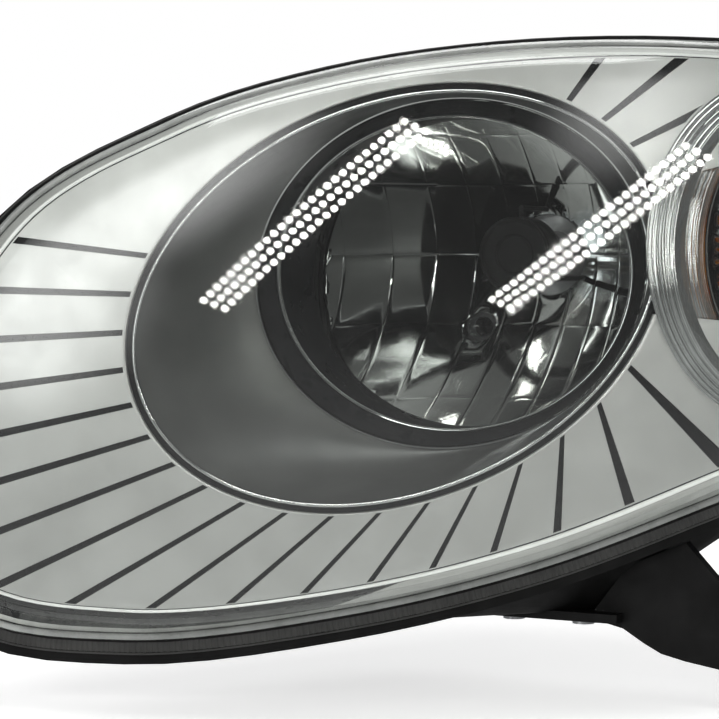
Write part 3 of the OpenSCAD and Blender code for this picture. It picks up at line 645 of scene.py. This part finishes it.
def shroud_piece():
    """Dark step behind the throat and the tube that runs back to the reflector, with a bright front lip."""
    a = np.radians(ALL_ROUND)
    front_h, back_h = -2.4, -4.4

    def tube(r, plane_h):
        x, z = r * np.cos(a), r * np.sin(a)
        y = (x * math.sin(FACE_SWEEP) - plane_h) / math.cos(FACE_SWEEP)
        return lamp_points(x, y, z)

    def tube_end(r):
        x = r * np.cos(a)
        return lamp_points(x, RIM_Y + x * math.tan(SHROUD_SLANT), r * np.sin(a))

    def step(h):
        return face_points(oval_points(THROAT, -1, ALL_ROUND - THROAT[3]), h)

    rings = [step(back_h), step(front_h), tube(TUBE_R + 1.6, front_h), tube(TUBE_R + 1.3, front_h + 0.7)]
    rings += [tube(TUBE_R + 0.8, front_h + 1.1), tube(TUBE_R + 0.3, front_h + 0.7), tube(TUBE_R, front_h)]
    rings += [tube_end(TUBE_R), tube_end(TUBE_R + TUBE_T), tube(TUBE_R + TUBE_T, back_h)]
    zones = [0, 0, 1, 1, 1, 1, 0, 0, 0, 0]
    finishes = [MATERIALS["black_satin"], MATERIALS["chrome_trim"]]
    piece = loft_piece("reflector_shroud_tube", rings, finishes, zones)
    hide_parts("reflector_shroud")


# Mirror facets: width, edges of the rows, and where each is folded so that its borders stand as ridges
FACET_PITCH = 14.5
FACET_ROWS = [-80, -56, -24, 8, 40, 62, 80]
FACET_FOLDS = np.concatenate([[0, 0.02], np.linspace(0.04, 0.96, 12), [0.98, 1]])
FACET_RIDGE = np.array([1, 0.4] + [0] * 12 + [0.4, 1])


def facet_depth(x, z, x_mid, z_mid, tip_x, tip_z):
    """Depth of one mirror facet: nearly the dish, tipped a little about its own middle."""
    dx, dz = x_mid - BULB_X, z_mid - BULB_Z
    dish = VERTEX_Y - (dx * dx + dz * dz) / (4 * FOCAL)
    slope = (dx * (x - x_mid) + dz * (z - z_mid)) / (2 * FOCAL)
    swell = ((x - x_mid) ** 2 * 0.85 + (z - z_mid) ** 2 * 0.97) / (4 * FOCAL)
    return dish - slope - swell + tip_x * (x - x_mid) + tip_z * (z - z_mid) - 1.7


def seam_height(z):
    """The seam level with the bulb stands proud, the others only a little."""
    return 0.32 if z == 8 else 0.08


def facets_piece():
    """Mirror facets over the dish, ridged where they meet and cut round the two bulb holes."""
    fine = len(FACET_FOLDS)
    radius = CUP_R - 0.5
    points, faces = [], []
    for column in range(-6, 6):
        x0 = BULB_X - 3.5 + FACET_PITCH * column
        for row, (z0, z1) in enumerate(zip(FACET_ROWS, FACET_ROWS[1:])):
            x = np.clip(x0 + FACET_PITCH * FACET_FOLDS, CUP_X - radius, CUP_X + radius)
            reach_z = np.sqrt(np.maximum(radius ** 2 - (x - CUP_X) ** 2, 0))
            z = np.clip((z0 + (z1 - z0) * FACET_FOLDS)[:, None], CUP_Z - reach_z, CUP_Z + reach_z)
            x = np.broadcast_to(x, z.shape)
            upright = FACET_RIDGE * (0.05 if z0 >= 8 else 0.16)
            level = FACET_RIDGE * np.where(np.arange(fine) < fine // 2, seam_height(z0), seam_height(z1))
            ridge = np.maximum(upright[None, :], level[:, None])
            tips = 0.02 * math.sin(5.0 * column + 2.3 * row), 0.016 * math.cos(3.0 * column + 1.7 * row)
            y = facet_depth(x, z, x0 + FACET_PITCH / 2, (z0 + z1) / 2, *tips) - ridge
            behind = np.maximum(3.8 + x * math.tan(SHROUD_SLANT), 0.4 + x * math.tan(RIM_SLANT))
            y = np.maximum(y, RIM_Y + behind)
            start = len(points) * fine * fine
            points.append(np.stack([x, y, z], -1).reshape(-1, 3))
            for i in range(fine - 1):
                for k in range(fine - 1):
                    a = start + i * fine + k
                    faces.append([a, a + 1, a + fine + 1, a + fine])
    points = np.concatenate(points)
    kept = np.ones(len(faces), bool)
    faces = np.array(faces)
    for cx, cz, r in ((BULB_X, BULB_Z, NECK_R), (SIDE_X, SIDE_Z, SIDE_R)):
        offset = points[:, [0, 2]] - (cx, cz)
        distance = np.linalg.norm(offset, axis=1)
        inside = distance < r
        kept &= ~inside[faces].all(1)
        points[inside, 0] = cx + offset[inside, 0] / np.maximum(distance[inside], 1e-6) * r
        points[inside, 2] = cz + offset[inside, 1] / np.maximum(distance[inside], 1e-6) * r
    corner = points[faces]
    area = np.linalg.norm(np.cross(corner[:, 2] - corner[:, 0], corner[:, 3] - corner[:, 1]), axis=1)
    faces = faces[kept & (area > 1e-3)]
    used = np.unique(faces)
    renumber = np.zeros(len(points), int)
    renumber[used] = np.arange(len(used))
    points = lamp_points(*points[used].T)
    chrome = [MATERIALS["reflector_chrome"]]
    piece = make_piece("reflector_facets", points, renumber[faces], chrome, body="reflector")


def shield_ring_piece():
    """Two low raised rings pressed into the face of the bulb shield."""
    a = np.radians(ALL_ROUND)
    for name, r in (("shield_ring_outer", 15.4), ("shield_ring_inner", 8.6)):
        profile = [(-0.9, 0.1), (-0.5, -0.35), (0.0, -0.5), (0.5, -0.35), (0.9, 0.1)]
        rings = [lamp_points(BULB_X + (r + dr) * np.cos(a), SHIELD_Y + dy, BULB_Z + (r + dr) * np.sin(a))
                 for dr, dy in profile]
        piece = loft_piece(name, rings, [MATERIALS["shield_black"]], body="reflector", sharp=60)


def indicator_ring_piece():
    """Silver ring round the indicator: two groups of fine ridges with a plain band between them."""
    outer, inner = oval_points(TURN_OUTER, -0.8, ALL_ROUND), oval_points(TURN_INNER, 0, ALL_ROUND)

    def ring(s, drop):
        p = mix(outer, inner, s)
        return face_points(p, crown(p) - BEZEL_DROP + RING_RISE - RING_FALL * s ** 5 - drop)

    front = []
    for s in np.linspace(0, 1, 120):
        ridged = s < 0.42 or s > 0.6
        front.append(ring(s, 0.35 * (1 - math.cos(s * 26 * 2 * math.pi)) if ridged else 0.2))
    back = [ring(s, SKIN_T + 0.8) for s in np.linspace(1, 0, 10)]
    piece = loft_piece("indicator_ridged_ring", front + back, [MATERIALS["chrome_trim"]], sharp=70)
    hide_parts("indicator_ring")


def indicator_bowl_piece():
    """Fluted mirror bowl of the indicator."""
    flutes = 28
    wave = np.cos(np.radians(ALL_ROUND) * flutes)

    def skin(grow, depth):
        rings = []
        s_c, s_s = math.cos(FACE_SWEEP), math.sin(FACE_SWEEP)
        x = TURN_X + (14 + grow) * np.cos(np.radians(ALL_ROUND))
        low = np.stack([x * s_c + TURN_NECK_Y * s_s, TURN_Z + (14 + grow) * np.sin(np.radians(ALL_ROUND))], 1)
        low_h = x * s_s - TURN_NECK_Y * s_c
        top = oval_points(TURN_INNER, grow - 1, ALL_ROUND)
        top_h = crown(top) - BEZEL_DROP - 19.5
        for s in np.linspace(0, 1, 20):
            sag = s ** 1.6
            dent = depth * math.sin(math.pi * s) * wave
            rings.append(face_points(mix(top, low, sag), mix(top_h, low_h, s) - dent))
        return rings

    rings = skin(0, 1.0) + skin(SKIN_T, 0)[::-1]
    piece = loft_piece("indicator_fluted_bowl", rings, [MATERIALS["reflector_chrome"]], sharp=50)
    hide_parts("indicator_bowl")


def serration_piece():
    """Fine ribs across the front of the flange along its lower edge, and a rounded bead outside them."""
    stations = np.linspace(0, len(OUTLINE), 2304, endpoint=False)
    out = mix(LIP_TOP, LIP_BOTTOM, underside(stations))
    ribbed = underside(stations).ravel() > 0.6
    level = FLANGE_H + np.where(ribbed, np.where(np.arange(len(stations)) % 4 < 2, 0.55, 0.1), -0.2)

    def ring(share, h):
        return face_points(edge(stations) + outward(stations) * out * share, h)

    low = np.full(len(stations), FLANGE_H - 0.5)
    strip = loft_piece(
        "flange_serrations", [ring(0.08, low), ring(0.1, level), ring(0.5, level), ring(0.52, low)],
        [MATERIALS["flange_grey"]], sharp=20)
    r = 0.5
    lip = mix(LIP_TOP, LIP_BOTTOM, underside(STATIONS))
    rings = [face_points(edge_in(STATIONS, r * math.cos(a) - 0.57 * lip), FLANGE_H - 0.1 + r * math.sin(a))
             for a in np.radians(np.arange(0, 360, 45))]
    bead = loft_piece("flange_bead", rings, [MATERIALS["flange_grey"]], sharp=60)


# Rear wall: its plane, its corners, the round spaces its ribs keep clear (centre, radius), and a rib's section
REAR_Y = 150
REAR_CORNERS = np.array([[-96, 78], [164, 78], [164, -30], [60, -106], [-96, -106]], float)
REAR_FITTINGS = np.array([
    [8, 8, 58], [132, 10, 26], [54, -62, 35], [40, -62, 22], [73, -40, 15], [-64, -30, 27], [-84, -64, 13],
    [-84, -92, 13], [-66, 66, 15], [-60, 84, 19], [120, 84, 19],
], float)
RIB_SECTION = [(-1.1, -0.4), (-1.0, 2.6), (-0.6, 3.0), (0.6, 3.0), (1.0, 2.6), (1.1, -0.4)]


def rear_rim(radius):
    """Closed path round the corners of the rear wall."""
    points = []
    for k, corner in enumerate(REAR_CORNERS):
        before, after = corner - REAR_CORNERS[k - 1], REAR_CORNERS[(k + 1) % len(REAR_CORNERS)] - corner
        first, last = (math.atan2(d[0], -d[1]) for d in (before, after))
        last += 2 * math.pi * round((first - last) / (2 * math.pi))
        for a in np.linspace(first, last, 7):
            points.append(corner + radius * np.array([math.cos(a), math.sin(a)]))
    return np.array(points)


def clear_runs(start, end):
    """Stretches of a straight rib that stay on the rear wall and clear of everything fixed to it."""
    path = np.array(start) + (np.array(end) - np.array(start)) * np.linspace(0, 1, 300)[:, None]
    away = np.linalg.norm(path[:, None] - REAR_FITTINGS[None, :, :2], axis=2) > REAR_FITTINGS[:, 2]
    sides = np.roll(REAR_CORNERS, -1, axis=0) - REAR_CORNERS
    offset = path[:, None] - REAR_CORNERS[None]
    beyond = (sides[:, 0] * offset[..., 1] - sides[:, 1] * offset[..., 0]) / np.linalg.norm(sides, axis=1)
    free = away.all(1) & (beyond < 4).all(1)
    edges = np.nonzero(np.diff(np.concatenate([[0], free.astype(int), [0]])))[0].reshape(-1, 2)
    return [path[[a, b - 1]] for a, b in edges if np.linalg.norm(path[b - 1] - path[a]) > 6]


def rib(path, closed):
    """Points and faces of a rib with chamfered shoulders along a path on the rear wall."""
    after = np.roll(path, -1, axis=0) if closed else np.vstack([path[1:], 2 * path[-1] - path[-2]])
    before = np.roll(path, 1, axis=0) if closed else np.vstack([2 * path[0] - path[1], path[:-1]])
    along = (after - before) / np.linalg.norm(after - before, axis=1)[:, None]
    across = np.stack([-along[:, 1], along[:, 0]], 1)
    rings = [path + across * side for side, _ in RIB_SECTION]
    levels = [REAR_Y + height for _, height in RIB_SECTION]
    points = np.concatenate([lamp_points(r[:, 0], y, r[:, 1]) for r, y in zip(rings, levels)])
    n, m = len(path), len(RIB_SECTION)
    faces = ring_faces(m, n, True).reshape(m, n, 4)
    if closed:
        return points, faces.reshape(-1, 4).tolist()
    ends = [[k * n for k in range(m)], [k * n + n - 1 for k in reversed(range(m))]]
    return points, faces[:, :-1].reshape(-1, 4).tolist() + ends


def rear_ribs_piece():
    """Stiffening ribs moulded on the rear wall, stopping short of the cap, the plugs and the vents."""
    ribs = [rib(rear_rim(5), True)]
    lines = [((x, -120), (x, 92)) for x in range(-92, 170, 23)]
    lines += [((-110, z), (178, z)) for z in range(-96, 80, 23)]
    for start, end in lines:
        ribs += [rib(run, False) for run in clear_runs(start, end)]
    points, faces = [], []
    for rib_points, rib_faces in ribs:
        shift = sum(len(p) for p in points)
        points.append(rib_points)
        faces += [[index + shift for index in face] for face in rib_faces]
    piece = make_piece("rear_ribs", np.concatenate(points), faces, [MATERIALS["housing_plastic"]], sharp=30)


# ---- Studio ----

def aim(thing, target):
    thing.rotation_euler = (Vector(target) - thing.location).to_track_quat("-Z", "Y").to_euler()


CAMERA_AIM = face_points(np.array([[-40.0, -37.0]]), 0)[0]
CAMERA_DISTANCE, CAMERA_RISE, CAMERA_LENS = 1.05, math.radians(2.5), 122


def add_camera():
    data = bpy.data.cameras.new("camera")
    data.lens = CAMERA_LENS
    data.clip_start, data.clip_end = 0.05, 20
    camera = bpy.data.objects.new("camera", data)
    bpy.context.scene.collection.objects.link(camera)
    level = math.cos(CAMERA_RISE)
    back = Vector((math.sin(FACE_SWEEP) * level, -math.cos(FACE_SWEEP) * level, math.sin(CAMERA_RISE)))
    camera.location = Vector(CAMERA_AIM) + back * CAMERA_DISTANCE
    aim(camera, CAMERA_AIM)
    bpy.context.scene.camera = camera


def from_lamp(azimuth, rise, distance):
    """Point in metres seen from the lamp at an angle round from straight ahead and an angle up."""
    a, e = math.radians(azimuth), math.radians(rise)
    ahead = Vector((math.sin(a) * math.cos(e), -math.cos(a) * math.cos(e), math.sin(e)))
    return Vector(CAMERA_AIM) + ahead * distance


def add_softbox(name, azimuth, rise, distance, width, height, power, mirrored=True):
    data = bpy.data.lights.new(name, "AREA")
    data.shape = "RECTANGLE"
    data.size, data.size_y, data.energy = width, height, power
    light = bpy.data.objects.new(name, data)
    light.location = from_lamp(azimuth, rise, distance)
    light.visible_glossy = mirrored
    bpy.context.scene.collection.objects.link(light)
    aim(light, CAMERA_AIM)


def lamp_glow():
    material, tree = new_material("studio_lamps")
    output(tree, add(tree, "ShaderNodeEmission", {"Color": (1, 0.99, 0.96, 1), "Strength": 26.0}))
    return material


def add_lamp_strip(name, start, end, count):
    """Strip of small round studio lamps, three abreast, that shows as a row of dots in the lens."""
    start, end = from_lamp(*start), from_lamp(*end)
    along = (end - start) / (count - 1)
    across = along.cross(start - Vector(CAMERA_AIM)).normalized() * 0.046
    radius, sides = 0.015, 12
    points, faces = [], []
    for k in range(count):
        for side in (-1, 0, 1):
            centre = start + along * (k + side * 0.35) + across * side
            u, v = along.normalized(), across.normalized()
            faces.append(list(range(len(points), len(points) + sides)))
            points += [centre + (u * math.cos(t) + v * math.sin(t)) * radius
                       for t in (2 * math.pi * j / sides for j in range(sides))]
    mesh = bpy.data.meshes.new(name)
    mesh.from_pydata(points, [], faces)
    mesh.materials.append(lamp_glow())
    strip = bpy.data.objects.new(name, mesh)
    strip.visible_camera = False
    bpy.context.scene.collection.objects.link(strip)


def soft_glow(name, strength):
    """Light that fades out smoothly from the middle of a unit disc to its edge."""
    material, tree = new_material(name)
    where = add(tree, "ShaderNodeTexCoord").outputs["Object"]
    radial = add(tree, "ShaderNodeTexGradient", {"Vector": where}, gradient_type="SPHERICAL").outputs["Fac"]
    fade = add(tree, "ShaderNodeMapRange", {"Value": radial}, interpolation_type="SMOOTHERSTEP")
    light = add(tree, "ShaderNodeEmission", {"Color": (1, 1, 1, 1), "Strength": strength})
    clear = add(tree, "ShaderNodeBsdfTransparent")
    mixed = {"Fac": fade.outputs["Result"], 1: clear.outputs[0], 2: light.outputs[0]}
    output(tree, add(tree, "ShaderNodeMixShader", mixed))
    return material


def add_glow(name, start, end, width, strength):
    """Oval diffuser between two directions, seen only in what the lamp reflects."""
    start, end = from_lamp(*start, 2.0), from_lamp(*end, 2.0)
    middle = (start + end) / 2
    along = (end - start).normalized()
    facing = (Vector(CAMERA_AIM) - middle).normalized()
    mesh = bpy.data.meshes.new(name)
    mesh.from_pydata([(-1, -1, 0), (1, -1, 0), (1, 1, 0), (-1, 1, 0)], [], [(0, 1, 2, 3)])
    mesh.materials.append(soft_glow(name, strength))
    panel = bpy.data.objects.new(name, mesh)
    turn = Matrix((along, facing.cross(along), facing)).transposed().to_4x4()
    size = Matrix.Diagonal(((end - start).length / 2, width / 2, 1, 1))
    panel.matrix_world = Matrix.Translation(middle) @ turn @ size
    panel.visible_camera = False
    panel.visible_shadow = False
    bpy.context.scene.collection.objects.link(panel)


def add_floor():
    """Pale floor, left out of what the lamp mirrors so that no horizon shows in it."""
    material, tree = new_material("floor")
    shade = tint(tree, spread(tree, noise(tree, 6, 4.0), 0, 1), (0.78, 0.78, 0.78), (0.82, 0.82, 0.82))
    paper = {"Base Color": shade, "Roughness": 0.8, "Emission Color": (1, 1, 1, 1), "Emission Strength": 0.6}
    output(tree, add(tree, "ShaderNodeBsdfPrincipled", paper))
    size, low = 8.0, cad_box[0][2] - 0.001
    mesh = bpy.data.meshes.new("floor")
    corners = [(-size, -size, low), (size, -size, low), (size, size, low), (-size, size, low)]
    mesh.from_pydata(corners, [], [(0, 1, 2, 3)])
    mesh.materials.append(material)
    floor = bpy.data.objects.new("floor", mesh)
    floor.visible_glossy = False
    bpy.context.scene.collection.objects.link(floor)


def add_world():
    """White surroundings for the camera; the lamp mirrors a studio that fades from pale below to grey above."""
    world = bpy.data.worlds.new("studio")
    world.use_nodes = True
    tree = world.node_tree
    tree.nodes.clear()
    seen = add(tree, "ShaderNodeLightPath").outputs["Is Camera Ray"]
    white = add(tree, "ShaderNodeBackground", {"Color": (1, 1, 1, 1), "Strength": 1.0})
    where = add(tree, "ShaderNodeTexCoord").outputs["Generated"]
    up = add(tree, "ShaderNodeSeparateXYZ", {"Vector": where}).outputs["Z"]
    fade = {"Value": up, "From Min": -0.45, "From Max": 0.1, "To Min": 0.45, "To Max": 0.12}
    level = add(tree, "ShaderNodeMapRange", fade, interpolation_type="SMOOTHSTEP").outputs["Result"]
    grey = add(tree, "ShaderNodeBackground", {"Color": (1, 1, 1, 1), "Strength": level})
    shown = add(tree, "ShaderNodeMixShader", {"Fac": seen, 1: grey.outputs[0], 2: white.outputs[0]})
    add(tree, "ShaderNodeOutputWorld", {"Surface": shown.outputs[0]})
    bpy.context.scene.world = world


def add_studio():
    add_world()
    add_floor()
    add_softbox("overhead", 20, 72, 1.7, 1.6, 0.6, 16)
    add_softbox("front_left", -6, 24, 2.2, 1.0, 0.35, 6, mirrored=False)
    add_softbox("front_right", 80, 12, 1.8, 0.5, 1.0, 3, mirrored=False)
    add_softbox("rear_fill", 205, 38, 1.8, 1.2, 0.7, 9)
    add_glow("glow_band", (-20, 1), (24, 33), 0.62, 3.8)
    add_glow("glow_inboard", (-32, -12), (0, 16), 1.1, 3.4)
    add_glow("glow_outboard", (44, 20), (72, 34), 0.7, 2.2)
    add_lamp_strip("lamp_strip_a", (5.3, 2.8, 2.0), (29.7, 27.7, 2.0), 28)
    add_lamp_strip("lamp_strip_b", (40, 2.9, 2.0), (64.8, 22, 2.0), 27)
    bpy.context.scene.view_settings.view_transform = "Standard"


finish_cad_nodes()
lens_piece()
lens_foot_piece()
bezel_piece()
funnel_piece()
oval_trim_piece()
shroud_piece()
facets_piece()
shield_ring_piece()
indicator_ring_piece()
indicator_bowl_piece()
serration_piece()
rear_ribs_piece()
add_camera()
add_studio()
